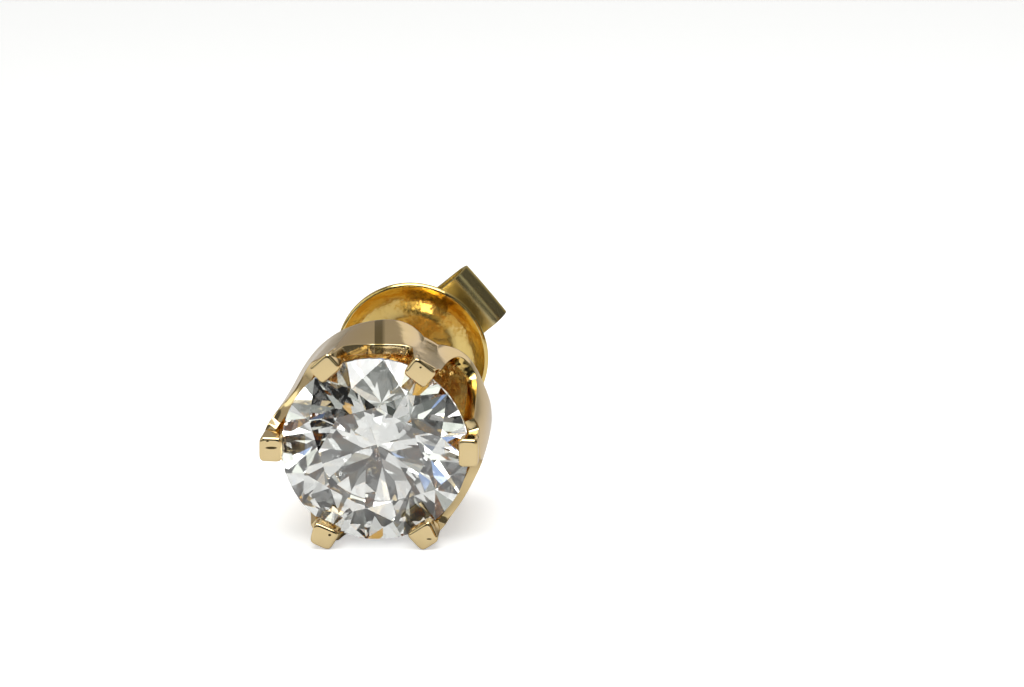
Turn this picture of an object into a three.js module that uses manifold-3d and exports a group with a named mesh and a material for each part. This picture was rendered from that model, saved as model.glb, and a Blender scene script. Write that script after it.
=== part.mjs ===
// A stud earring: a round brilliant in a six-claw petal cup, an ear post and a butterfly clutch on it.
// Millimetres, +Z up. The stud lies on its two lower claws and the lower scroll of its clutch.
// It is drawn along its own axis first: the stone faces -Y, and a depth is a distance behind the girdle.
// An azimuth is measured from +X towards +Z, round that axis.

import * as THREE from 'three';
import { mergeVertices } from 'three/addons/utils/BufferGeometryUtils.js';
import Module from 'manifold-3d';

// Stone
const stoneDiameter = 6.5;
const tableDiameter = 3.66; // across the corners of the table
const crownHeight = 0.96;
const pavilionDepth = 2.79;
const girdleThickness = 0.2; // at the corners of the scallops
const starShare = 0.5; // how far a star facet reaches from the table to the girdle
const lowerHalfShare = 0.77; // how far a lower girdle facet reaches from the girdle to the culet
const stoneTurn = -5; // azimuth of one kite, in degrees
const girdleSteps = 5; // straight steps along one scallop
const stoneClearance = 0.05;

// Claws
const clawWidth = 0.83;
const clawReach = 3.86; // outer radius at the front
const clawGrip = 3.1; // inner radius at the front, over the edge of the stone
const clawRootReach = 3.45; // outer radius where the shoulder starts
const clawRootThickness = 0.5;
const clawFront = 0.95; // how far the flat front stands before the girdle
const clawBevel = 0.1;
const bevelStep = 0.3; // where the bevel bends, as a share of its size
const clawCorner = 0.13;
const clawEndShare = 0.6; // how far round the shoulder a claw sinks into the cup
const clawSteps = 6; // lean and twist are straight between these

// Cup
const petalRadius = 3.53; // where the shoulder starts
const rimRadius = 3.3; // half way between two claws, at the front
const petalFullness = 0.9; // below 1 the petals are broad and the valleys narrow, at the shoulder
const wall = 0.38;
const rimHeight = 0.08; // how far the rim stands in front of the girdle beside a claw
const rimDip = 1.4; // how much deeper the rim is half way between two claws
const scallopPower = 4; // 2 is a parabola, more is squarer
const shoulderDepth = 3.9;
const baseDepth = 5.2;
const baseRadius = 1.6; // of the flat back
const floorThickness = 0.7;

// Post
const postDiameter = 0.8;
const postLength = 9.9; // from the bottom of its socket
const postTip = 0.3; // length of the rounded tip
const socketDepth = 0.4;
const postClearance = 0.05;

// Clutch
const discRadius = 2.83;
const discDepth = 11.5; // of the front edge of the disc
const dish = 0.9;
const discFlat = 1.25; // radius of the flat middle
const sheet = 0.25;
const stripWidth = 2.3;
const stripThickness = 0.25;
const stripAzimuth = 41;
const scrollReach = 3.45;
const scrollBend = 0.62; // outer radius of the wide bend
const scrollCurl = 0.4; // outer radius of the narrow bend at the post
const scrollGrip = 0.52; // how close a scroll comes to the axis
const solderDepth = 0.03;
const runningClearance = 0.07;

// How finely round things are faceted, in sides
const cupSides = 96;
const roomSides = 80;
const discSides = 48;
const boreSides = 24;

// Each pass finds again which corners are lowest
const restPasses = 9;

// One row for each claw. reach, grip and root are shares of clawReach, clawGrip and clawRootReach, belly is
// how far the outer face bends out half way, and twist turns the front, in degrees. taper is how much wider
// the front is inside than half way.
const claws = [
  { azimuth: 4.5, width: 1.2, reach: 0.964, grip: 0.987, root: 1.072, belly: 0.1, twist: -4, taper: 0 },
  { azimuth: 62, width: 1, reach: 0.997, grip: 1.045, root: 0.925, belly: 0, twist: -8, taper: 0 },
  { azimuth: 118, width: 0.99, reach: 1, grip: 1.039, root: 1.014, belly: 0, twist: 15, taper: 0 },
  { azimuth: 178.3, width: 1.036, reach: 1.01, grip: 1.016, root: 0.986, belly: 0, twist: 2, taper: 0 },
  { azimuth: 240.8, width: 1.012, reach: 0.985, grip: 1, root: 0.974, belly: 0, twist: 7, taper: 0.14 },
  { azimuth: 303, width: 0.99, reach: 0.975, grip: 0.974, root: 1, belly: 0, twist: 2, taper: 0.16 },
];

// One row for each petal, from the claw in the same row to the next. rim, bulge and dip are shares of
// rimRadius, petalRadius and rimDip. Above 1, flare lets the front of the wall run out to the claws, and below 1
// it bulges between them. The rim dips between from and to, which are shares of the way between the two claws,
// and a skew below 1 puts the deepest place nearer to from.
const petals = [
  { rim: 1.036, flare: 2.4, bulge: 1.028, dip: 2.46, from: 0.27, to: 0.83, skew: 1 },
  { rim: 1, flare: 1.6, bulge: 1, dip: 1.04, from: 0.1, to: 0.9, skew: 0.62 },
  { rim: 1.07, flare: 2.4, bulge: 0.969, dip: 0.36, from: 0.14, to: 0.86, skew: 1 },
  { rim: 1.012, flare: 0.8, bulge: 0.958, dip: 0.93, from: 0.14, to: 0.86, skew: 1 },
  { rim: 0.985, flare: 0.8, bulge: 0.912, dip: 0.93, from: 0.14, to: 0.86, skew: 1 },
  { rim: 1.085, flare: 1.5, bulge: 1.006, dip: 0.43, from: 0.14, to: 0.86, skew: 1 },
];

const gold = { color: 0xc9a766, roughness: 0.22, metalness: 1 };
const brilliant = { color: 0xf4f4f0, roughness: 0.02, metalness: 0 };

const wasm = await Module();
wasm.setup();

const degrees = (angle) => (angle * Math.PI) / 180;
const mix = (a, b, share) => a + (b - a) * share;
const smooth = (share) => share * share * (3 - 2 * share);
const limit = (share) => Math.min(1, Math.max(0, share));

// A point at a radius and azimuth round the axis, and a depth along it
const around = (radius, azimuth, depth) =>
  new THREE.Vector3(radius * Math.cos(azimuth), depth, radius * Math.sin(azimuth));

function geometryOf(points, triangles) {
  const geometry = new THREE.BufferGeometry();
  geometry.setAttribute('position', new THREE.Float32BufferAttribute(points.flatMap((p) => p.toArray()), 3));
  geometry.setIndex(triangles.flat());
  return geometry;
}

// A closed geometry as a solid that can be joined and cut. Triangles that fold to a line at a pole go.
function solidOf(geometry) {
  const bare = geometry.clone();
  bare.deleteAttribute('normal');
  bare.deleteAttribute('uv');
  const merged = mergeVertices(bare);
  const corners = merged.index.array;
  const kept = [];
  for (let i = 0; i < corners.length; i += 3) {
    const [a, b, c] = corners.slice(i, i + 3);
    if (a !== b && b !== c && c !== a) kept.push(a, b, c);
  }
  return new wasm.Manifold(new wasm.Mesh({
    numProp: 3,
    vertProperties: new Float32Array(merged.attributes.position.array),
    triVerts: new Uint32Array(kept),
  }));
}

function meshOf(solid, name, look) {
  const { vertProperties, triVerts } = solid.getMesh();
  const geometry = new THREE.BufferGeometry();
  geometry.setAttribute('position', new THREE.BufferAttribute(vertProperties, 3));
  geometry.setIndex(new THREE.BufferAttribute(triVerts, 1));
  const mesh = new THREE.Mesh(geometry, new THREE.MeshStandardMaterial({ ...look, flatShading: true }));
  mesh.name = name;
  return mesh;
}

// A closed body from rings of points that lie one behind the other, with flat ends
function loft(rings) {
  const sides = rings[0].length;
  const triangles = [];
  for (let ring = 0; ring + 1 < rings.length; ring++) {
    for (let side = 0; side < sides; side++) {
      const a = ring * sides + side;
      const b = ring * sides + ((side + 1) % sides);
      triangles.push([a, b + sides, b], [a, a + sides, b + sides]);
    }
  }
  const last = (rings.length - 1) * sides;
  for (let side = 1; side + 1 < sides; side++) {
    triangles.push([0, side, side + 1], [last, last + side + 1, last + side]);
  }
  return geometryOf(rings.flat(), triangles);
}

// A turned body. Its profile of radius and depth runs from the axis back to the axis, or closes on itself.
const turned = (profile, sides) =>
  solidOf(new THREE.LatheGeometry(profile.map(([radius, depth]) => new THREE.Vector2(radius, depth)), sides));

const drill = (radius, front, back) =>
  turned([[0, front], [radius, front], [radius, back], [0, back]], boreSides);

// Stone. Kite, star and main facets are flat because their corners are worked out on one plane each.

const girdleRadius = stoneDiameter / 2;
const tableRadius = tableDiameter / 2;
const sector = Math.PI / 4;

// Depth on the plane through three points, at the place of a fourth
function depthOnPlane(a, b, c, place) {
  const normal = b.clone().sub(a).cross(c.clone().sub(a));
  return a.y - (normal.x * (place.x - a.x) + normal.z * (place.z - a.z)) / normal.y;
}

function brilliantStone() {
  const half = Math.cos(sector / 2);
  const crownEdge = -girdleThickness / 2;
  const pavilionEdge = girdleThickness / 2;
  const kiteSlope = crownHeight / (girdleRadius - tableRadius);
  const starRadius = mix(tableRadius * half, girdleRadius, starShare);
  const starDepth = crownEdge - kiteSlope * (girdleRadius - starRadius * half);
  const lowerRadius = girdleRadius * (1 - lowerHalfShare);
  const lowerDepth = pavilionEdge + pavilionDepth * (1 - (lowerRadius * half) / girdleRadius);

  const points = [];
  const add = (point) => points.push(point) - 1;
  const table = add(new THREE.Vector3(0, crownEdge - crownHeight, 0));
  const culet = add(new THREE.Vector3(0, pavilionEdge + pavilionDepth, 0));
  const steps = girdleSteps * 2;
  const rows = [];
  for (let k = 0; k < 8; k++) {
    const azimuth = degrees(stoneTurn) + k * sector;
    const row = { corner: add(around(tableRadius, azimuth, crownEdge - crownHeight)), top: [], low: [] };
    row.star = add(around(starRadius, azimuth + sector / 2, starDepth));
    row.lower = add(around(lowerRadius, azimuth + sector / 2, lowerDepth));
    for (let i = 0; i < steps; i++) {
      // Two scallops fill a sector, and each is where a flat facet meets the round of the girdle
      const from = azimuth + (i < girdleSteps ? 0 : sector / 2);
      const place = around(girdleRadius, azimuth + (i * sector) / steps, 0);
      for (const [list, tip, edge] of [[row.top, row.star, crownEdge], [row.low, row.lower, pavilionEdge]]) {
        const ends = [from, from + sector / 2].map((end) => around(girdleRadius, end, edge));
        const depth = depthOnPlane(points[tip], ...ends, place);
        list.push(add(place.clone().setY(depth)));
      }
    }
    rows.push(row);
  }

  const triangles = [];
  rows.forEach((row, k) => {
    const next = rows[(k + 1) % 8];
    const before = rows[(k + 7) % 8];
    const top = [...row.top, next.top[0]];
    const low = [...row.low, next.low[0]];
    triangles.push([table, row.corner, next.corner], [row.corner, row.star, next.corner]);
    triangles.push([row.corner, before.star, row.top[0]], [row.corner, row.top[0], row.star]);
    triangles.push([culet, row.lower, row.low[0]], [culet, row.low[0], before.lower]);
    for (let i = 0; i < steps; i++) {
      triangles.push([row.star, top[i], top[i + 1]], [row.lower, low[i + 1], low[i]]);
      triangles.push([top[i], low[i], low[i + 1]], [top[i], low[i + 1], top[i + 1]]);
    }
  });
  return solidOf(geometryOf(points, triangles));
}

// The room that the stone takes in the cup, a clearance larger all round
function stoneRoom() {
  const radius = girdleRadius + stoneClearance;
  const half = girdleThickness / 2 + stoneClearance;
  const front = half + crownHeight;
  const flat = tableRadius + stoneClearance;
  const back = half + pavilionDepth;
  return turned([[0, -front], [flat, -front], [radius, -half], [radius, half], [0, back]], roomSides);
}

// Cup

// The petal at an azimuth in degrees, and the share of the way from its first claw to the next
function petalAt(azimuth) {
  const turn = (((azimuth - claws[0].azimuth) % 360) + 360) % 360;
  const starts = claws.map((claw) => claw.azimuth - claws[0].azimuth);
  const index = starts.findLastIndex((start) => start <= turn);
  const end = index + 1 < claws.length ? starts[index + 1] : 360;
  const next = claws[(index + 1) % claws.length];
  const share = (turn - starts[index]) / (end - starts[index]);
  return { ...petals[index], claw: claws[index], next, share };
}

// Share of the way from the front of the claws back to the shoulder
const leanShare = (depth) => limit((depth + clawFront) / (shoulderDepth + clawFront));

// A claw's outer face leans straight back to its root, and may have a belly
function clawOuter(claw, depth) {
  const share = leanShare(depth);
  return mix(clawReach * claw.reach, clawRootReach * claw.root, share) + claw.belly * Math.sin(Math.PI * share);
}

// Beyond the shoulder every radius closes in to the flat back along a quarter of an ellipse
function closed(radius, depth) {
  const share = limit((depth - shoulderDepth) / (baseDepth - shoulderDepth));
  return mix(baseRadius, radius, Math.sqrt(1 - share * share));
}

// The wall carries on from the outer faces of the claws, and goes in or out to the petal between them
function wallRadius(azimuth, depth) {
  const { rim, flare, bulge, claw, next, share } = petalAt(azimuth);
  const back = smooth(limit(depth / shoulderDepth));
  const arch = Math.sin(Math.PI * share) ** mix(flare, petalFullness, back);
  const valley = mix(clawOuter(claw, depth), clawOuter(next, depth), share);
  return closed(mix(valley, mix(rimRadius * rim, petalRadius * bulge, back), arch), depth);
}

function rimDepth(azimuth) {
  const { dip, from, to, skew, share } = petalAt(azimuth);
  const across = limit((share - from) / (to - from)) ** skew * 2 - 1;
  return rimDip * dip * (1 - Math.abs(across) ** scallopPower) - rimHeight;
}

function cup() {
  const floorDepth = baseDepth - floorThickness;
  const outerSteps = [0, 0.25, 0.5, 0.75, 1];
  const roundSteps = [0.3, 0.55, 0.75, 0.9, 0.98];
  const rings = [];
  for (let column = 0; column < cupSides; column++) {
    const azimuth = (column * 360) / cupSides;
    const rim = rimDepth(azimuth);
    const inner = (depth) => wallRadius(azimuth, depth) - wall;
    const outside = [
      ...outerSteps.map((step) => mix(rim, shoulderDepth, step)),
      ...roundSteps.map((step) => mix(shoulderDepth, baseDepth, step)),
    ].map((depth) => [wallRadius(azimuth, depth), depth]);
    const inside = [...outerSteps].reverse().map((step) => mix(rim, floorDepth, step))
      .map((depth) => [inner(depth), depth]);
    const profile = [[0, floorDepth], ...inside, ...outside, [baseRadius, baseDepth], [0, baseDepth]];
    rings.push(profile.map(([radius, depth]) => around(radius, degrees(azimuth), depth)));
  }
  const rows = rings[0].length;
  const triangles = [];
  for (let column = 0; column < cupSides; column++) {
    for (let row = 0; row + 1 < rows; row++) {
      const a = column * rows + row;
      const b = ((column + 1) % cupSides) * rows + row;
      triangles.push([a, a + 1, b + 1], [a, b + 1, b]);
    }
  }
  return solidOf(geometryOf(rings.flat(), triangles));
}

// A rounded oblong across a claw, from its inner to its outer radius, drawn in by an inset
function clawRing(claw, inner, outer, depth, inset) {
  const outward = around(1, degrees(claw.azimuth), 0);
  const sideways = around(1, degrees(claw.azimuth + 90), 0);
  const middle = (inner + outer) / 2;
  const reach = (outer - inner) / 2 - inset;
  const spread = (clawWidth * claw.width) / 2 - inset;
  const twist = degrees(claw.twist) * (1 - smooth(limit(leanShare(depth) * 2)));
  const ring = [];
  for (const [along, across, start] of [[1, 1, 0], [-1, 1, 90], [-1, -1, 180], [1, -1, 270]]) {
    for (const turn of [0, 30, 60, 90]) {
      const angle = degrees(start + turn);
      const out = along * (reach - clawCorner) + clawCorner * Math.cos(angle);
      const side = (across * (spread - clawCorner) + clawCorner * Math.sin(angle))
        * (1 - (claw.taper * out) / reach);
      ring.push(new THREE.Vector3(0, depth, 0)
        .addScaledVector(outward, middle + out * Math.cos(twist) - side * Math.sin(twist))
        .addScaledVector(sideways, out * Math.sin(twist) + side * Math.cos(twist)));
    }
  }
  return ring;
}

// A claw leans out from the shoulder to its front, and behind the shoulder it sinks into the cup
function clawBar(claw) {
  const end = mix(shoulderDepth, baseDepth, clawEndShare);
  const endReach = closed(clawRootReach * claw.root, end) - wall / 4;
  const gripThickness = clawReach * claw.reach - clawGrip * claw.grip;
  const leaning = (share, inset) => {
    const depth = mix(-clawFront, shoulderDepth, share);
    const outer = clawOuter(claw, depth);
    return clawRing(claw, outer - mix(gripThickness, clawRootThickness, share), outer, depth, inset);
  };
  const bevelShare = clawBevel / (shoulderDepth + clawFront);
  const steps = Array.from({ length: clawSteps }, (_, i) => mix(bevelShare, 1, (i + 1) / clawSteps));
  return solidOf(loft([
    leaning(0, clawBevel),
    leaning(bevelShare * bevelStep, clawBevel * bevelStep),
    leaning(bevelShare, 0),
    ...steps.map((share) => leaning(share, 0)),
    clawRing(claw, endReach - clawRootThickness, endReach, end, 0),
  ]));
}

function crownSetting() {
  const socket = drill(postDiameter / 2 + postClearance, baseDepth - socketDepth, baseDepth + socketDepth);
  let setting = cup();
  for (const claw of claws) setting = setting.add(clawBar(claw));
  return setting.subtract(stoneRoom()).subtract(socket);
}

// Post

function earPost() {
  const radius = postDiameter / 2;
  const front = baseDepth - socketDepth + postClearance;
  const back = front + postLength;
  const tip = [0, 0.25, 0.5, 0.75, 1].map((step) => {
    const angle = step * Math.PI / 2;
    return [radius * Math.cos(angle), back - postTip + postTip * Math.sin(angle)];
  });
  tip[tip.length - 1][0] = 0;
  return turned([[0, front], [radius, front], ...tip], boreSides);
}

// Clutch

function dishedDisc() {
  const hole = postDiameter / 2 + runningClearance;
  const round = sheet / 2;
  const front = [[hole, discDepth + dish], [discFlat, discDepth + dish]];
  for (const step of [0.25, 0.5, 0.75, 1]) {
    const radius = mix(discFlat, discRadius - round, step);
    front.push([radius, discDepth + dish * (1 - step ** 2)]);
  }
  const rim = [45, 90, 135].map((angle) => [
    discRadius - round + round * Math.sin(degrees(angle)),
    discDepth + round - round * Math.cos(degrees(angle)),
  ]);
  const back = [...front].reverse().map(([radius, depth]) => [radius, depth + sheet]);
  return turned([...front, ...rim, ...back, front[0]], discSides);
}

// Half of the strip's middle line: out behind the disc, round the wide bend, back in and round to the post
function scrollLine() {
  const line = [];
  const centre = scrollReach - scrollBend;
  const bend = scrollBend - stripThickness / 2;
  for (let angle = -90; angle <= 90; angle += 15) {
    line.push([centre + bend * Math.cos(degrees(angle)), bend + bend * Math.sin(degrees(angle))]);
  }
  const curl = scrollCurl - stripThickness / 2;
  const inner = scrollGrip + scrollCurl;
  for (let angle = 90; angle <= 210; angle += 20) {
    line.push([inner + curl * Math.cos(degrees(angle)), 2 * bend - curl + curl * Math.sin(degrees(angle))]);
  }
  return line;
}

function scrollStrip() {
  const half = scrollLine();
  const line = [
    ...half.map(([out, back]) => new THREE.Vector2(-out, back)).reverse(),
    ...half.map(([out, back]) => new THREE.Vector2(out, back)),
  ];
  const sideOf = (side) => line.map((point, i) => {
    const before = line[Math.max(0, i - 1)];
    const after = line[Math.min(line.length - 1, i + 1)];
    const along = after.clone().sub(before).normalize();
    return point.clone().add(new THREE.Vector2(-along.y, along.x).multiplyScalar(side * stripThickness / 2));
  });
  const outline = new THREE.Shape([...sideOf(-1), ...sideOf(1).reverse()]);
  const strip = new THREE.ExtrudeGeometry(outline, { depth: stripWidth, bevelEnabled: false });
  strip.translate(0, 0, -stripWidth / 2);
  strip.rotateY(-degrees(stripAzimuth));
  strip.translate(0, discDepth + dish + sheet - solderDepth + stripThickness / 2, 0);
  return solidOf(strip);
}

function butterflyClutch() {
  const back = discDepth + dish + sheet + stripThickness;
  const bore = drill(postDiameter / 2 + runningClearance, discDepth, back);
  return dishedDisc().add(scrollStrip()).subtract(bore);
}

// The corner that is lowest once the stud is turned, of those that isIn picks
function lowest(corners, turn, isIn) {
  const height = (corner) => corner.clone().applyQuaternion(turn).z;
  return corners.filter(isIn).reduce((best, corner) => (height(corner) < height(best) ? corner : best));
}

// Turns the stud onto the plane of the three corners that it rests on, and stands it on the middle of its box
function layDown(meshes) {
  const corners = meshes.flatMap((mesh) => {
    const { position } = mesh.geometry.attributes;
    const corner = (_, i) => new THREE.Vector3().fromBufferAttribute(position, i);
    return Array.from({ length: position.count }, corner);
  });
  const turn = new THREE.Quaternion();
  for (let pass = 0; pass < restPasses; pass++) {
    const left = lowest(corners, turn, (corner) => corner.y < 0 && corner.x < 0);
    const right = lowest(corners, turn, (corner) => corner.y < 0 && corner.x > 0);
    const rear = lowest(corners, turn, (corner) => corner.y > baseDepth);
    const up = right.clone().sub(left).cross(rear.clone().sub(left)).normalize();
    turn.setFromUnitVectors(up, new THREE.Vector3(0, 0, 1));
  }
  const stud = new THREE.Group();
  stud.add(...meshes);
  stud.quaternion.copy(turn);
  const row = new THREE.Group();
  row.add(stud);
  const box = new THREE.Box3().setFromObject(row, true);
  const middle = box.getCenter(new THREE.Vector3());
  stud.position.set(-middle.x, -middle.y, -box.min.z);
  return row;
}

export default layDown([
  meshOf(crownSetting(), 'crown_setting', gold),
  meshOf(brilliantStone(), 'stone', brilliant),
  meshOf(earPost(), 'ear_post', gold),
  meshOf(butterflyClutch(), 'clutch', gold),
]);
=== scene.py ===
# A stud earring: a round brilliant in a six-claw petal cup, an ear post and a butterfly clutch.
# Shapes are worked out in millimetres along the stud's own axis: the stone faces -y, a depth is a
# distance behind the girdle, and an azimuth is measured from +x towards +z. toRow lays them down.
import math

import bmesh
import bpy
import numpy as np
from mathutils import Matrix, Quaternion, Vector


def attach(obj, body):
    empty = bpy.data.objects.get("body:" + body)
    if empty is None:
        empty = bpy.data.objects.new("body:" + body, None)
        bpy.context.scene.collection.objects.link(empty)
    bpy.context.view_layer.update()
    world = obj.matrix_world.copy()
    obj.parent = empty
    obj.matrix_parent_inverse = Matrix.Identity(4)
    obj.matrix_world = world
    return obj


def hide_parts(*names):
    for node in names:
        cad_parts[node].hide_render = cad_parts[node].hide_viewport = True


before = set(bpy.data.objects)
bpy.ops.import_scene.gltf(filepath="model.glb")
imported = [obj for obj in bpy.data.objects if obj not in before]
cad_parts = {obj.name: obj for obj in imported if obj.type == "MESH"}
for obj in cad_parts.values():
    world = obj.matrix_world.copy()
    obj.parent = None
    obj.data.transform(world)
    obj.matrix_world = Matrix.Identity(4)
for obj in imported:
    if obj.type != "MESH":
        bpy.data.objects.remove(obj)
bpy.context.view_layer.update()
print("frame loaded:", sorted(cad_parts))

rest = {
    "turn": (0.999742, -0.011043, 0.019844, 0.0),  # w, x, y, z of the stud as it lies
    "place": (0.03475, -6.82324, 3.34707),  # where the middle of the girdle lies
}
mm = 0.001
restMatrix = np.array(Quaternion(rest["turn"]).normalized().to_matrix())
weld = {"points": 2e-7, "edges": 1e-7}  # metres: points closer than this are one, shorter edges go


def toRow(points):
    # turned as the stud lies, shifted, and made metres
    return (np.asarray(points) @ restMatrix.T + np.array(rest["place"])) * mm


def mix(a, b, share):
    return a + (b - a) * share


def ease(share):
    share = np.clip(share, 0, 1)
    return share * share * (3 - 2 * share)


def pick(table, name, index):
    # one column of a table, at an index or an array of them
    return np.array(table[name])[index]


def around(radius, azimuth, depth):
    # a point at a radius and azimuth round the axis, and a depth along it
    radius, azimuth, depth = np.broadcast_arrays(radius, azimuth, depth)
    return np.stack([radius * np.cos(azimuth), depth, radius * np.sin(azimuth)], axis=-1)


def gridFaces(rows, columns, closedRows, closedColumns):
    # four corners for each cell of a grid, whose last row or column may join the first
    row = np.arange(rows if closedRows else rows - 1)[:, None]
    column = np.arange(columns if closedColumns else columns - 1)[None, :]
    nextRow, nextColumn = (row + 1) % rows, (column + 1) % columns
    corners = [row * columns + column, nextRow * columns + column,
               nextRow * columns + nextColumn, row * columns + nextColumn]
    return np.stack([c + 0 * row + 0 * column for c in corners], axis=-1).reshape(-1, 4)


def makePiece(name, grids, body, stands=(), sharpAngle=40):
    # grids: (points of rows x columns x 3, closedRows, closedColumns); each is a closed skin of its own
    mesh = bpy.data.meshes.new(name)
    points, faces, start = [], [], 0
    for grid, closedRows, closedColumns in grids:
        rows, columns = grid.shape[:2]
        corners = gridFaces(rows, columns, closedRows, closedColumns)
        flat = grid.reshape(-1, 3)
        # a skin whose volume comes out negative faces inwards, and is turned round
        a, b, c, d = (flat[corners[:, k]] for k in range(4))
        volume = np.einsum("ij,ij->", a, np.cross(b, c)) + np.einsum("ij,ij->", a, np.cross(c, d))
        if volume < 0:
            corners = corners[:, ::-1]
        points.append(toRow(flat))
        faces.append(corners + start)
        start += len(flat)
    mesh.from_pydata(np.concatenate(points).tolist(), [], np.concatenate(faces).tolist())
    work = bmesh.new()
    work.from_mesh(mesh)
    bmesh.ops.remove_doubles(work, verts=work.verts, dist=weld["points"])
    bmesh.ops.dissolve_degenerate(work, edges=work.edges, dist=weld["edges"])
    work.to_mesh(mesh)
    work.free()
    mesh.shade_smooth()
    mesh.set_sharp_from_angle(angle=math.radians(sharpAngle))
    piece = bpy.data.objects.new(name, mesh)
    bpy.context.scene.collection.objects.link(piece)
    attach(piece, body)
    if stands:
        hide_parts(*stands)
    print("made", name, len(mesh.polygons), "faces")
    return piece


# Camera: stood off from the stone at the photo's angle
camera = {
    "azimuth": 7.49,
    "elevation": 18.29,
    "roll": -1.587,
    "distance": 150.0,
    "pixelsPerMm": 28.98,  # at the stone
    "aim": (4.867, 3.458),  # mm to the right of the stone and above it, in the picture
    "pictureWidth": 1024,
    "sensor": 36.0,
    "clip": (0.001, 10),
}


def direction(azimuth, elevation):
    # unit vector from the stud: azimuth 0 is in front of the stone, and grows towards +x
    azimuth, elevation = math.radians(azimuth), math.radians(elevation)
    return Vector((math.sin(azimuth) * math.cos(elevation),
                   -math.cos(azimuth) * math.cos(elevation), math.sin(elevation)))


def placeCamera():
    towards = direction(camera["azimuth"], camera["elevation"])
    right = direction(camera["azimuth"] + 90, 0)
    up = towards.cross(right)
    middle = Vector(rest["place"])
    aim = middle + right * camera["aim"][0] + up * camera["aim"][1]
    eye = middle + towards * camera["distance"]
    look = (aim - eye).normalized()
    data = bpy.data.cameras.new("camera")
    data.sensor_width = camera["sensor"]
    data.lens = camera["sensor"] * camera["pixelsPerMm"] * (middle - eye).dot(look) / camera["pictureWidth"]
    data.clip_start, data.clip_end = camera["clip"]
    holder = bpy.data.objects.new("camera", data)
    holder.location = eye * mm
    holder.rotation_mode = "QUATERNION"
    holder.rotation_quaternion = (look.to_track_quat("-Z", "Y")
                                  @ Quaternion((0, 0, 1), math.radians(camera["roll"])))
    bpy.context.scene.collection.objects.link(holder)
    bpy.context.scene.camera = holder


placeCamera()
print("camera placed")

# Stone's room, which the cup and the claws keep clear of
stone = {"radius": 3.25, "tableRadius": 1.83, "crown": 0.96, "pavilion": 2.79, "girdle": 0.2, "clear": 0.05}


def roomRadius(depth):
    # a cylinder round the girdle, with a cone to the table in front and a cone to the point behind
    radius, half = stone["radius"] + stone["clear"], stone["girdle"] / 2 + stone["clear"]
    front = radius - (-half - depth) * (stone["radius"] - stone["tableRadius"]) / stone["crown"]
    back = radius * (1 - (depth - half) / stone["pavilion"])
    return np.clip(np.minimum(np.minimum(front, back), radius), 0, None)


# Claws, in order round the stone from the one at the right
claws = {
    "azimuth": (4.5, 62.0, 118.0, 178.3, 240.8, 303.0),
    "width": (1.0, 0.92, 0.92, 0.88, 0.87, 0.86),
    "outer": (3.65, 3.86, 3.87, 3.91, 3.802, 3.764),  # outer radius at the front
    "inner": (2.98, 3.10, 3.13, 3.12, 3.02, 2.95),  # inner radius at the front
    "root": (3.68, 3.19, 3.50, 3.62, 3.36, 3.45),  # outer radius at the shoulder
    "belly": (0.1, 0, 0, 0.04, 0, 0),
    "twist": (-4, -8, 15, 2, 7, 2),  # turn of the front, in degrees
    "taper": (0, 0, 0, 0, 0.14, 0.16),  # how much wider it is inside than half way
    "climb": (0.5, 0.8, 0.8, 0.1, 0.08, 0.08),  # how far in front of the girdle the wall reaches along it
    "front": 0.95, "rootThickness": 0.5, "bevel": 0.11, "pillow": 0.007, "sides": 96,
    "dense": (-0.3, 0.5),  # depths beside the girdle, between which the rings lie closer together
    "corner": 5.5,  # power of the squared oval that is a claw's section
    "endShare": 0.6,  # how far a claw runs on inside the cup, from the shoulder to the flat back
    "sunk": 0.03,  # how far the wall covers the outer faces
    "sinkFrom": 0.1, "sinkOver": 0.12,  # how far in front of the wall's edge that starts, and its run
}
# Petals, each from the claw in the same place of the list above to the next
cup = {
    "rimRadius": (3.419, 3.3, 3.40, 3.34, 3.25, 3.58),  # half way across
    "flare": (2.4, 1.6, 1.4, 0.8, 0.8, 1.5),  # power of the arch at the front
    "bulge": (3.629, 3.53, 3.47, 3.382, 3.219, 3.551),  # radius at the shoulder, half way across
    "dip": (3.444, 1.456, 0.45, 1.302, 1.302, 0.55),  # depth of the rim's scallop
    "dipStart": (0.27, 0.10, 0.14, 0.14, 0.14, 0.14),  # shares of the petal's width
    "dipEnd": (0.83, 0.90, 0.86, 0.86, 0.86, 0.86),
    "skew": (1.0, 0.62, 1.0, 1.0, 1.0, 1.0),  # power that moves the scallop sideways
    "slant": (0.12, 0.02, 0.42, 0.05, 0.02, 0.42),  # how much deeper the rim is outside than inside
    "slantEnds": 0.2,  # share of the width over which the slant fades towards the claws
    "seam": 0.09,  # share of the width that lies flat over each claw
    "cusp": (0.10, 0.17),  # shares between which the rim climbs to the claws
    "fullness": 0.9,  # power of the arch at the shoulder
    "scallopPower": 4, "rimHeight": 0.08, "wall": 0.38, "edge": 0.045, "columns": 900,
    "shoulder": 3.9, "base": 5.2, "baseRadius": 1.6, "floor": 0.7,
    "socket": 0.45, "socketDepth": 0.4, "socketEdge": 0.03,
    "guarded": 1, "thinnest": 0.1,  # in front of this depth the wall stays this far outside the stone's room
}


def petalAt(azimuth):
    # the petal that an azimuth lies in, the next one, and the share of the way from claw to claw
    starts = np.array(claws["azimuth"]) - claws["azimuth"][0]
    turn = np.mod(np.degrees(azimuth) - claws["azimuth"][0], 360)
    index = np.searchsorted(starts, turn, side="right") - 1
    ends = np.append(starts[1:], 360)
    share = (turn - starts[index]) / (ends[index] - starts[index])
    return index, (index + 1) % len(starts), share


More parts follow.
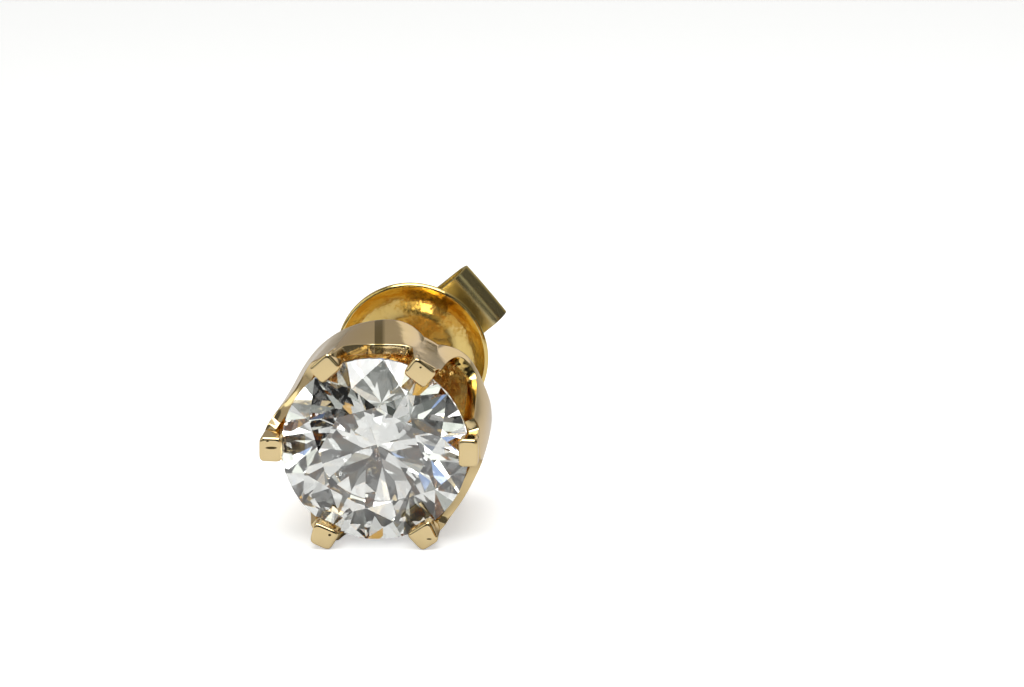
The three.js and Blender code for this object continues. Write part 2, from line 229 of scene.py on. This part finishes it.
def clawOuter(index, depth):
    # a claw's outer face: a straight lean from its front to the shoulder, plus a half sine for a belly
    along = np.clip((depth + claws["front"]) / (cup["shoulder"] + claws["front"]), 0, 1)
    lean = mix(pick(claws, "outer", index), pick(claws, "root", index), along)
    return lean + pick(claws, "belly", index) * np.sin(np.pi * along)


def closeIn(radius, depth):
    # behind the shoulder every radius closes in to the flat back along a quarter of an ellipse
    share = np.clip((depth - cup["shoulder"]) / (cup["base"] - cup["shoulder"]), 0, 1)
    return mix(cup["baseRadius"], radius, np.sqrt(1 - share * share))


def wallRadius(azimuth, depth):
    # the claws' outer faces, and between them a power of a half sine towards the petal's own radius
    index, nextIndex, share = petalAt(azimuth)
    back = ease(depth / cup["shoulder"])
    power = mix(pick(cup, "flare", index), cup["fullness"], back)
    beyond = np.clip((share - cup["seam"]) / (1 - 2 * cup["seam"]), 0, 1)
    arch = np.sin(np.pi * beyond) ** power
    valley = mix(clawOuter(index, depth), clawOuter(nextIndex, depth), ease(beyond))
    crest = mix(pick(cup, "rimRadius", index), pick(cup, "bulge", index), back)
    guard = np.where(depth < cup["guarded"], roomRadius(depth) + cup["thinnest"], 0)
    return np.maximum(closeIn(mix(valley, crest, arch), depth), guard)


def rimDepth(azimuth):
    # one minus a power of the way across, which is squarer than a parabola, and a climb to the claws
    index, nextIndex, share = petalAt(azimuth)
    start, end = pick(cup, "dipStart", index), pick(cup, "dipEnd", index)
    across = np.clip((share - start) / (end - start), 0, 1) ** pick(cup, "skew", index) * 2 - 1
    dip = pick(cup, "dip", index) * (1 - np.abs(across) ** cup["scallopPower"]) - cup["rimHeight"]
    top = -np.where(share < 0.5, pick(claws, "climb", index), pick(claws, "climb", nextIndex))
    low, high = cup["cusp"]
    return mix(np.minimum(dip, top), dip, ease((np.minimum(share, 1 - share) - low) / (high - low)))


def rimSlant(azimuth):
    index, _, share = petalAt(azimuth)
    return pick(cup, "slant", index) * ease(np.minimum(share, 1 - share) / cup["slantEnds"])


def cupGrid():
    # rings from the middle of the floor up the inside, over the rounded rim, down the outside to the socket
    azimuth = np.linspace(0, 2 * np.pi, cup["columns"], endpoint=False)[None, :]
    rim, slant = rimDepth(azimuth), rimSlant(azimuth)
    edge, base, socket = cup["edge"], cup["base"], cup["socket"]
    floor, socketFloor = base - cup["floor"], base - cup["socketDepth"]

    def inner(depth):
        return np.maximum(wallRadius(azimuth, depth) - cup["wall"], roomRadius(depth))

    rows = [around(0 * rim, azimuth, floor)]
    for share in (0.3, 0.6, 0.85, 1.0):
        rows.append(around(inner(floor) * share, azimuth, floor))
    for share in np.linspace(0, 1, 26)[1:]:
        depth = mix(floor, rim + edge, share)
        rows.append(around(inner(depth), azimuth, depth))
    for angle in np.radians([22, 45, 67, 90]):
        depth = rim + edge * (1 - np.sin(angle))
        rows.append(around(inner(rim + edge) + edge * (1 - np.cos(angle)), azimuth, depth))
    outerRim = rim + slant
    for angle in np.radians([90, 67, 45, 22, 0]):
        depth = outerRim + edge * (1 - np.sin(angle))
        rows.append(around(wallRadius(azimuth, outerRim + edge) - edge * (1 - np.cos(angle)), azimuth, depth))
    for share in np.linspace(0, 1, 28)[1:]:
        depth = mix(outerRim + edge, cup["shoulder"], share)
        rows.append(around(wallRadius(azimuth, depth), azimuth, depth))
    for angle in np.radians(np.linspace(0, 90, 20)[1:]):
        depth = mix(cup["shoulder"], base, np.sin(angle)) + 0 * rim
        rows.append(around(wallRadius(azimuth, depth), azimuth, depth))
    for radius, depth in ((cup["baseRadius"] * 0.7, base), (socket + cup["socketEdge"], base),
                          (socket, base - cup["socketEdge"]), (socket, socketFloor), (0, socketFloor)):
        rows.append(around(radius + 0 * rim, azimuth, depth))
    return np.stack([r.reshape(-1, 3) for r in rows])


cupPiece = makePiece("petal_cup", [(cupGrid(), False, True)], "stud",
                     ("crown_setting",), sharpAngle=50)


def clawGrid(index):
    # a squared oval section carried from the front face back to the shoulder, and on into the cup
    azimuth, half = math.radians(claws["azimuth"][index]), claws["width"][index] / 2
    turn = np.linspace(0, 2 * np.pi, claws["sides"], endpoint=False)
    power = 2 / claws["corner"]
    along = np.sign(np.cos(turn)) * np.abs(np.cos(turn)) ** power
    across = np.sign(np.sin(turn)) * np.abs(np.sin(turn)) ** power
    bevel, front, shoulder = claws["bevel"], claws["front"], cup["shoulder"]
    outward = around(1, azimuth, 0)
    sideways = around(1, azimuth + math.pi / 2, 0)

    def ring(inner, outer, spread, depth, size=1.0):
        # the twist fades out half way back, and a tapered claw is wider inside
        middle, out = (inner + outer) / 2, along * (outer - inner) / 2 * size
        side = across * spread * size * (1 - claws["taper"][index] * along * size)
        twist = math.radians(claws["twist"][index]) * (1 - ease((depth + front) / (shoulder + front) * 2))
        out, side = (middle + out * math.cos(twist) - side * math.sin(twist),
                     out * math.sin(twist) + side * math.cos(twist))
        return out[:, None] * outward + side[:, None] * sideways \
            + np.array([0, 1, 0]) * np.broadcast_to(depth, out.shape)[:, None]

    def leaning(depth, inset):
        # inner and outer radius and half width at a depth, drawn in by an inset
        share = (depth + front) / (shoulder + front)
        sink = ease((depth + claws["climb"][index] + claws["sinkFrom"]) / claws["sinkOver"])
        outer = clawOuter(index, depth) - claws["sunk"] * sink
        thickness = mix(claws["outer"][index] - claws["inner"][index], claws["rootThickness"], share)
        inner = np.maximum(outer - thickness, roomRadius(depth))
        return inner + inset, outer - inset, half - inset

    rows = []
    for size in np.linspace(0, 1, 14):  # the face, a low pillow
        inner, outer, spread = leaning(-front, bevel)
        rows.append(ring(inner, outer, spread, -front - claws["pillow"] * (1 - size * size), size))
    for angle in np.radians([15, 30, 45, 60, 75, 90]):
        depth = -front + bevel * (1 - math.cos(angle))
        rows.append(ring(*leaning(depth, bevel * (1 - math.sin(angle))), depth))
    first, last = claws["dense"]
    depths = np.concatenate([np.linspace(-front + bevel, first, 8)[1:], np.linspace(first, last, 24)[1:],
                             np.linspace(last, shoulder, 16)[1:]])
    for depth in depths:
        rows.append(ring(*leaning(depth, 0), depth))
    end = mix(shoulder, cup["base"], claws["endShare"])
    endReach = closeIn(claws["root"][index], end) - cup["wall"] / 4
    inner, outer, spread = leaning(shoulder, 0)
    for share in np.linspace(0, 1, 8)[1:]:
        rows.append(ring(mix(inner, endReach - claws["rootThickness"], share), mix(outer, endReach, share),
                         spread, mix(shoulder, end, share)))
    rows.append(ring(endReach - claws["rootThickness"], endReach, spread, end, 0.0))
    return np.stack(rows)


clawPiece = makePiece("claws", [(clawGrid(index), False, True) for index in range(len(claws["azimuth"]))],
                      "stud", ("crown_setting",), sharpAngle=50)

# Post
post = {"radius": 0.4, "front": 4.85, "length": 9.9, "tip": 0.3, "fillet": 0.14, "sides": 128}


def turnedGrid(profile, sides, closed):
    # a profile of radius and depth carried round the axis
    azimuth = np.linspace(0, 2 * np.pi, sides, endpoint=False)[None, :]
    radius, depth = np.array(profile).T
    return around(radius[:, None], azimuth, depth[:, None]), closed, True


def postProfile():
    # out of the cup, round a hollow fillet of solder at its back, and straight to the domed tip
    back, fillet = post["front"] + post["length"], post["fillet"]
    profile = [(0, post["front"]), (post["radius"], post["front"]), (post["radius"], cup["base"])]
    for angle in np.radians(np.linspace(0, 90, 10)):
        profile.append((post["radius"] + fillet * (1 - math.sin(angle)),
                        cup["base"] + fillet * (1 - math.cos(angle))))
    for depth in np.linspace(cup["base"] + fillet, back - post["tip"], 12)[1:]:
        profile.append((post["radius"], depth))
    for angle in np.radians(np.linspace(0, 90, 12)[1:]):
        profile.append((post["radius"] * math.cos(angle), back - post["tip"] * (1 - math.sin(angle))))
    return profile


postPiece = makePiece("post_rod", [turnedGrid(postProfile(), post["sides"], False)],
                      "stud", ("ear_post",))

# Clutch
clutch = {
    "discRadius": 2.83, "depth": 11.5, "dish": 0.9, "flat": 1.25, "sheet": 0.25, "hole": 0.47, "sides": 256,
    "stripWidth": 2.3, "stripThickness": 0.25, "azimuth": 41, "reach": 3.45, "bend": 0.62, "curl": 0.4,
    "curlEnd": 210,  # angle at which the curl ends, beside the post
    "grip": 0.52,  # from the axis to the nearest side of the curl
    "holeMargin": 0.02, "solder": 0.03, "edge": 0.07,
    "squareness": 1.5,  # how far the strip's section is stretched before it is cut to its square
}


def discProfile():
    # a parabola from the flat middle to the half-round rim, and back a sheet's thickness behind it
    half = clutch["sheet"] / 2
    share = np.linspace(0, 1, 28)
    radius = mix(clutch["flat"], clutch["discRadius"] - half, share)
    depth = clutch["depth"] + clutch["dish"] * (1 - share ** 2)
    front = np.concatenate([[[clutch["hole"], clutch["depth"] + clutch["dish"]]],
                            np.stack([radius, depth], axis=1)])
    angle = np.radians(np.linspace(0, 180, 14)[1:-1])
    rim = np.stack([clutch["discRadius"] - half + half * np.sin(angle),
                    clutch["depth"] + half - half * np.cos(angle)], axis=1)
    return np.concatenate([front, rim, front[::-1] + [0, clutch["sheet"]]])


def scrollLine():
    # half of the strip's middle line: out behind the disc, round the wide bend, in and round to the post
    half = clutch["stripThickness"] / 2
    bend, curl = clutch["bend"] - half, clutch["curl"] - half
    centre, inner = clutch["reach"] - clutch["bend"], clutch["grip"] + clutch["curl"]
    wide = np.radians(np.linspace(-90, 90, 28))
    narrow = np.radians(np.linspace(90, clutch["curlEnd"], 22))
    flat = np.linspace(clutch["hole"] + clutch["holeMargin"], centre, 14)[:-1]
    straight = np.linspace(centre, inner, 12)[1:-1]
    return np.concatenate([
        np.stack([flat, 0 * flat], axis=1),
        np.stack([centre + bend * np.cos(wide), bend + bend * np.sin(wide)], axis=1),
        np.stack([straight, 2 * bend + 0 * straight], axis=1),
        np.stack([inner + curl * np.cos(narrow), 2 * bend - curl + curl * np.sin(narrow)], axis=1)])


def stripGrid():
    # a rounded oblong section carried along the scroll line, both halves in one, with drawn-in ends
    half = scrollLine()
    line = np.concatenate([half[::-1] * [-1, 1], half])
    along = np.gradient(line, axis=0)
    along /= np.linalg.norm(along, axis=1)[:, None]
    normal = np.stack([-along[:, 1], along[:, 0]], axis=1)
    edge, wide, thick = clutch["edge"], clutch["stripWidth"] / 2, clutch["stripThickness"] / 2
    turn = np.linspace(0, 2 * np.pi, 64, endpoint=False)
    circle = np.stack([np.cos(turn), np.sin(turn)], axis=1)
    corner = np.clip(circle * clutch["squareness"], -1, 1)
    section = corner * [wide - edge, thick - edge] + circle * edge
    azimuth = math.radians(clutch["azimuth"])
    outward, sideways = around(1, azimuth, 0), around(1, azimuth + math.pi / 2, 0)
    back = clutch["depth"] + clutch["dish"] + clutch["sheet"] - clutch["solder"] + thick
    rows = []
    sizes = [0.0, 0.55, 0.85] + [1.0] * (len(line) - 2) + [0.85, 0.55, 0.0]
    steps = [0, 0, 0] + list(range(1, len(line) - 1)) + [len(line) - 1] * 3
    for size, step in zip(sizes, steps):
        place = line[step] + normal[step] * (section[:, 1:] * size)
        rows.append(place[:, :1] * outward + (section[:, :1] * size) * sideways
                    + (back + place[:, 1:]) * np.array([0, 1, 0]))
    return np.stack(rows)


discPiece = makePiece("clutch_disc", [turnedGrid(discProfile(), clutch["sides"], True)],
                      "clutch_back", ("clutch",))
stripPiece = makePiece("scroll_strip", [(stripGrid(), False, True)],
                       "clutch_back", ("clutch",), sharpAngle=50)
print("pieces made")


# Finishes
class Wire:
    # an output of a node, which adds a Math node for each operator
    def __init__(self, tree, socket):
        self.tree, self.socket = tree, socket

    def maths(self, operation, *values):
        node = self.tree.nodes.new("ShaderNodeMath")
        node.operation = operation
        for place, value in zip(node.inputs, values):
            fill(self.tree, place, value)
        return Wire(self.tree, node.outputs[0])

    def __add__(self, other):
        return self.maths("ADD", self, other)

    def __radd__(self, other):
        return self.maths("ADD", other, self)

    def __sub__(self, other):
        return self.maths("SUBTRACT", self, other)

    def __rsub__(self, other):
        return self.maths("SUBTRACT", other, self)

    def __mul__(self, other):
        return self.maths("MULTIPLY", self, other)

    def __rmul__(self, other):
        return self.maths("MULTIPLY", other, self)

    def __truediv__(self, other):
        return self.maths("DIVIDE", self, other)

    def step(self, low, soft):
        # 0 below low, rising to 1 at low + soft
        return self.maths("MAXIMUM", self.maths("MINIMUM", (self - low) / soft, 1.0), 0.0)


def fill(tree, place, value):
    # links a wire to an input, or sets anything else on it
    if isinstance(value, Wire):
        tree.links.new(value.socket, place)
    else:
        place.default_value = value


def addNode(tree, kind, output=0, **inputs):
    node = tree.nodes.new("ShaderNode" + kind)
    for key, value in inputs.items():
        fill(tree, node.inputs[key.replace("_", " ")], value)
    return Wire(tree, node.outputs[output])


def axes(tree, place):
    # the x, y and z of a place
    split = addNode(tree, "SeparateXYZ", Vector=place).socket.node
    return [Wire(tree, output) for output in split.outputs]


def blend(tree, share, first, second):
    # from the first colour to the second; a Mix node keeps its colours at these places
    node = tree.nodes.new("ShaderNodeMix")
    node.data_type = "RGBA"
    for place, value in ((0, share), (6, first), (7, second)):
        fill(tree, node.inputs[place], value)
    return Wire(tree, node.outputs[2])


class Finish:
    # a material with one shader, whose constants are set on its own inputs
    def __init__(self, name, **constants):
        self.material = bpy.data.materials.new(name)
        self.material.use_nodes = True
        self.tree = self.material.node_tree
        self.tree.nodes.clear()
        self.shader = self.tree.nodes.new("ShaderNodeBsdfPrincipled")
        output = self.tree.nodes.new("ShaderNodeOutputMaterial")
        self.tree.links.new(self.shader.outputs[0], output.inputs["Surface"])
        for key, value in constants.items():
            self.shader.inputs[key.replace("_", " ")].default_value = value

    def node(self, kind, output=0, **inputs):
        return addNode(self.tree, kind, output, **inputs)

    def blend(self, share, first, second):
        return blend(self.tree, share, first, second)

    def feed(self, name, wire):
        self.tree.links.new(wire.socket, self.shader.inputs[name])

    def place(self, turn=(0, 0, 0), stretch=(1, 1, 1)):
        # Object coordinates in millimetres
        return self.node("Mapping", Vector=self.node("TexCoord", output=3),
                         Rotation=tuple(math.radians(t) for t in turn),
                         Scale=tuple(s / mm for s in stretch))


# colour and deep are the two ends of the soft clouds, glance is the tint seen along the surface, scuff
# is how far the roughness strays, and wave and grain are the strengths of the two bumps
goldLook = {
    "setting": {"colour": (0.86, 0.68, 0.39, 1), "deep": (0.79, 0.60, 0.30, 1),
                "glance": (0.83, 0.76, 0.67, 1), "roughness": 0.09, "scuff": 0.08, "wave": 0.04,
                "grain": 0.05},
    # the disc: a more saturated copy of the gold, painted reflection of light bouncing round the dish
    "disc": {"colour": (0.90, 0.69, 0.29, 1), "deep": (0.80, 0.58, 0.18, 1),
             "glance": (0.9, 0.75, 0.4, 1), "roughness": 0.12, "scuff": 0.12, "wave": 0.14,
             "grain": 0.08},
    # the cup's inside: a warmer, deeper copy of the gold, its colour a painted warm reflection
    "insideReflectionTint": {"colour": (0.88, 0.66, 0.27, 1), "deep": (0.78, 0.52, 0.15, 1),
               "glance": (0.9, 0.7, 0.35, 1), "roughness": 0.08, "scuff": 0.10, "wave": 0.25,
               "grain": 0.08},
    # the strip: a darker, more olive copy of the gold, painted shade standing in for the dark it reflects
    "strip": {"colour": (0.68, 0.57, 0.31, 1), "deep": (0.55, 0.45, 0.20, 1),
              "glance": (0.7, 0.6, 0.35, 1), "roughness": 0.24, "scuff": 0.10, "wave": 0.03,
              "grain": 0.06},
}
goldTexture = {
    "cloud": 0.9, "marks": 3.0, "grain": 26.0,  # noise scales for each mm
    "marksTurn": (20, 0, 35), "marksStretch": (1, 7, 1),
    "cloudMiddle": 0.35, "marksMiddle": 0.5, "scuffShare": 0.8,
    "marksHeight": 0.7, "grainHeight": 0.3,
    "waveDepth": 0.0004, "grainDepth": 0.00004,  # metres
}
# Small dents in the claws' faces, hollowed in the bump and darkened with painted shade: x, z, half their
# length and half their height, in mm
dentsAndShade = {
    "ovals": [(-3.43, 3.69, 0.22, 0.05), (-3.55, 3.93, 0.06, 0.03), (-1.52, 0.55, 0.06, 0.05),
              (1.93, 0.42, 0.10, 0.03), (1.82, 6.57, 0.045, 0.04)],
    "colour": (0.07, 0.05, 0.02, 1), "edge": (0.6, 0.4), "roughness": 0.2, "height": 2,
}
# A painted reflection, a darker strip across the top of the wall for something dark that it mirrors: x of its
# middle line at a y, and how that leans with y
paintedReflection = {
    "x": 0.04, "y": -4.8, "lean": 0.117, "colour": (0.24, 0.18, 0.07, 1),
    # where each edge starts, and how soft it is
    "left": (-0.15, 0.02), "right": (0.11, 0.14), "bottom": (5.4, 0.5),
}


def goldFinish(name, look, withDentsAndShade=False, withPaintedReflection=False):
    # polished gold: soft clouds of deeper colour, long fine polishing marks and a faint grain
    finish = Finish(name, Metallic=1.0, Specular_Tint=look["glance"])
    texture, place = goldTexture, finish.place()
    cloud = finish.node("TexNoise", Vector=place, Scale=texture["cloud"], Detail=3.0)
    marks = finish.node("TexNoise", Vector=finish.place(texture["marksTurn"], texture["marksStretch"]),
                        Scale=texture["marks"], Detail=4.0)
    grain = finish.node("TexNoise", Vector=place, Scale=texture["grain"], Detail=2.0)
    colour = finish.blend(cloud, look["colour"], look["deep"])
    stray = ((cloud - texture["cloudMiddle"]) * texture["scuffShare"]
             + (marks - texture["marksMiddle"]) * texture["scuffShare"])
    roughness = look["roughness"] + look["scuff"] * stray
    height = marks * texture["marksHeight"] + grain * texture["grainHeight"]
    # painted reflection: the darker strip across the top of the wall
    if withPaintedReflection:
        x, y, z = axes(finish.tree, place)
        off = x + (y - paintedReflection["y"]) * paintedReflection["lean"] - paintedReflection["x"]
        strip = off.step(*paintedReflection["left"]) * (1 - off.step(*paintedReflection["right"]))
        colour = finish.blend(strip * z.step(*paintedReflection["bottom"]), colour, paintedReflection["colour"])
    # dents: a rougher hollow in the bump, darkened with painted shade
    if withDentsAndShade:
        x, _, z = axes(finish.tree, place)
        spot = 0
        for across, up, long, high in dentsAndShade["ovals"]:
            # an oval with soft edges
            a, b = (x - across) / long, (z - up) / high
            spot = spot + (1 - (a * a + b * b).step(*dentsAndShade["edge"]))
        colour = finish.blend(spot, colour, dentsAndShade["colour"])
        roughness, height = roughness + spot * dentsAndShade["roughness"], height - spot * dentsAndShade["height"]
    finish.feed("Base Color", colour)
    finish.feed("Roughness", roughness)
    wave = finish.node("Bump", Height=cloud, Strength=look["wave"], Distance=texture["waveDepth"])
    finish.feed("Normal", finish.node("Bump", Height=height, Strength=look["grain"],
                                      Distance=texture["grainDepth"], Normal=wave))
    return finish.material


brilliantLook = {"ior": 2.42, "cloud": 0.6, "tints": ((0.985, 1, 0.965, 1), (0.98, 0.992, 0.985, 1))}


def stoneFinish():
    # clear, with the faintest tint in soft clouds
    finish = Finish("brilliant_clear", Roughness=0.0, IOR=brilliantLook["ior"], Transmission_Weight=1.0)
    cloud = finish.node("TexNoise", Vector=finish.place(), Scale=brilliantLook["cloud"], Detail=1.0)
    finish.feed("Base Color", finish.blend(cloud, *brilliantLook["tints"]))
    return finish.material


def dress(piece, material):
    piece.data.materials.clear()
    piece.data.materials.append(material)


# The cup's inside, whose gold gets a warmer, deeper colour as painted reflection: cosine by which a face
# looks towards the axis, and for its floor the share of the normal that looks forward, with the depth behind
# which that counts
insideReflectionTint = {"inward": -0.3, "forward": -0.7, "depth": 3}


def dressInsideReflectionTint(piece, material):
    # a second material on the faces that look towards the axis or lie on the cup's floor: bumpier gold whose
    # warmer, deeper colour is painted reflection
    piece.data.materials.append(material)
    count = len(piece.data.polygons)
    normals, centres = np.empty(count * 3), np.empty(count * 3)
    piece.data.polygons.foreach_get("normal", normals)
    piece.data.polygons.foreach_get("center", centres)
    normals, outward = normals.reshape(-1, 3), centres.reshape(-1, 3) / mm - np.array(rest["place"])
    facing = (normals[:, [0, 2]] * outward[:, [0, 2]]).sum(axis=1)
    inside = facing < insideReflectionTint["inward"] * np.hypot(*outward[:, [0, 2]].T)
    inside |= (normals[:, 1] < insideReflectionTint["forward"]) & (outward[:, 1] > insideReflectionTint["depth"])
    piece.data.polygons.foreach_set("material_index", inside.astype(int))
    piece.data.update()


# the wall's gold carries the painted reflection strip
dress(cupPiece, goldFinish("wall_gold", goldLook["setting"], withPaintedReflection=True))
dressInsideReflectionTint(cupPiece, goldFinish("inside_reflection_tint_gold", goldLook["insideReflectionTint"]))
dress(clawPiece, goldFinish("claw_gold", goldLook["setting"], withDentsAndShade=True))
dress(postPiece, goldFinish("setting_gold", goldLook["setting"]))
dress(discPiece, goldFinish("disc_gold", goldLook["disc"]))
dress(stripPiece, goldFinish("strip_gold", goldLook["strip"]))
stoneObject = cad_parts["stone"]
brilliant = stoneFinish()
if not stoneObject.data.materials:
    stoneObject.data.materials.append(brilliant)
for slot in stoneObject.material_slots:
    slot.material = brilliant
print("finishes made")

# Floor and light
stage = {"floorSize": 4.0, "floorColour": (0.70, 0.70, 0.70, 1), "floorGlow": 0.52, "seen": 0.97}
room = {
    "walls": (0.40, 0.39, 0.38, 1), "front": (0.02, 0.02, 0.02, 1), "roof": (0.09, 0.09, 0.09, 1),
    "right": (0.095, 0.095, 0.09, 1),
    # for each, the cosine at which it starts and how soft its edge is
    "rightEdge": (0.58, 0.03), "frontEdge": (0.35, 0.03), "roofEdge": (0.74, 0.01), "panelSoft": 0.004,
    # panels: azimuth, elevation, cosine of the half angle, colour
    "panels": [(-72, 26, 0.975, (1.35, 1.40, 1.28, 1)), (-48, 38, 0.983, (1.30, 1.35, 1.22, 1)),
               (-30, 58, 0.980, (1.25, 1.30, 1.18, 1)), (-8, 48, 0.988, (1.15, 1.20, 1.10, 1)),
               (24, 52, 0.984, (1.20, 1.24, 1.12, 1)), (46, 60, 0.984, (1.05, 1.08, 1.00, 1)),
               (-33, 12, 0.984, (0.50, 0.52, 0.50, 1)), (-12, 6, 0.992, (0.10, 0.11, 0.10, 1)),
               (24, 8, 0.991, (0.14, 0.15, 0.14, 1)), (40, 24, 0.982, (0.46, 0.48, 0.45, 1)),
               (2, 38, 0.993, (0.35, 0.52, 0.90, 1)), (58, 6, 0.985, (0.80, 0.46, 0.10, 1)),
               (0, 76, 0.975, (0.75, 0.78, 0.72, 1)), (150, 62, 0.93, (0.7, 0.7, 0.7, 1)),
               (-150, 68, 0.96, (0.8, 0.8, 0.8, 1)), (171, 8, 0.978, (0.95, 0.94, 0.92, 1))],
}
keyLight = {"place": (0.0, -0.024, 0.086), "aim": (0.0, -0.024, 0), "size": 0.08, "watts": 0.077}


def makeFloor():
    # the paper's glow is for the picture alone, and doesn't light the stud
    half = stage["floorSize"] / 2
    mesh = bpy.data.meshes.new("floor")
    corners = [(-half, -half, 0), (half, -half, 0), (half, half, 0), (-half, half, 0)]
    mesh.from_pydata(corners, [], [(0, 1, 2, 3)])
    floor = bpy.data.objects.new("floor", mesh)
    bpy.context.scene.collection.objects.link(floor)
    finish = Finish("floor_paper", Roughness=0.9, Base_Color=stage["floorColour"],
                    Emission_Strength=stage["floorGlow"])
    seenByCamera = finish.node("LightPath")
    finish.feed("Emission Color", finish.blend(seenByCamera, (0, 0, 0, 1), (1, 1, 1, 1)))
    dress(floor, finish.material)


def makeWorld():
    # a grey room, dark in front, above and at the right, with pale panels
    world = bpy.data.worlds.new("studio")
    world.use_nodes = True
    bpy.context.scene.world = world
    tree = world.node_tree
    tree.nodes.clear()
    background, output = (tree.nodes.new("ShaderNode" + kind) for kind in ("Background", "OutputWorld"))
    tree.links.new(background.outputs[0], output.inputs[0])
    towards, seenByCamera = addNode(tree, "TexCoord"), addNode(tree, "LightPath")
    x, y, z = axes(tree, towards)
    light = blend(tree, x.step(*room["rightEdge"]), room["walls"], room["right"])
    light = blend(tree, (0 - y).step(*room["frontEdge"]), light, room["front"])
    light = blend(tree, z.step(*room["roofEdge"]), light, room["roof"])
    for azimuth, elevation, edge, colour in room["panels"]:
        d = direction(azimuth, elevation)
        light = blend(tree, (x * d.x + y * d.y + z * d.z).step(edge, room["panelSoft"]), light, colour)
    light = blend(tree, seenByCamera, light, (stage["seen"],) * 3 + (1,))
    tree.links.new(light.socket, background.inputs["Color"])


def addKeyLight():
    # a soft square lamp above and in front of the stone, which looks straight down
    data = bpy.data.lights.new("key", "AREA")
    data.shape, data.size, data.energy = "SQUARE", keyLight["size"], keyLight["watts"]
    light = bpy.data.objects.new("key", data)
    light.location = keyLight["place"]
    light.visible_camera = False
    down = Vector(keyLight["aim"]) - Vector(keyLight["place"])
    light.rotation_euler = down.to_track_quat("-Z", "Y").to_euler()
    bpy.context.scene.collection.objects.link(light)


makeFloor()
makeWorld()
addKeyLight()
scene = bpy.context.scene
scene.view_settings.view_transform = "Standard"
scene.view_settings.look = "None"
# enough for light to find its way out of the stone
scene.cycles.max_bounces = 24
scene.cycles.transmission_bounces = 24
scene.cycles.glossy_bounces = 12
print("stage set")
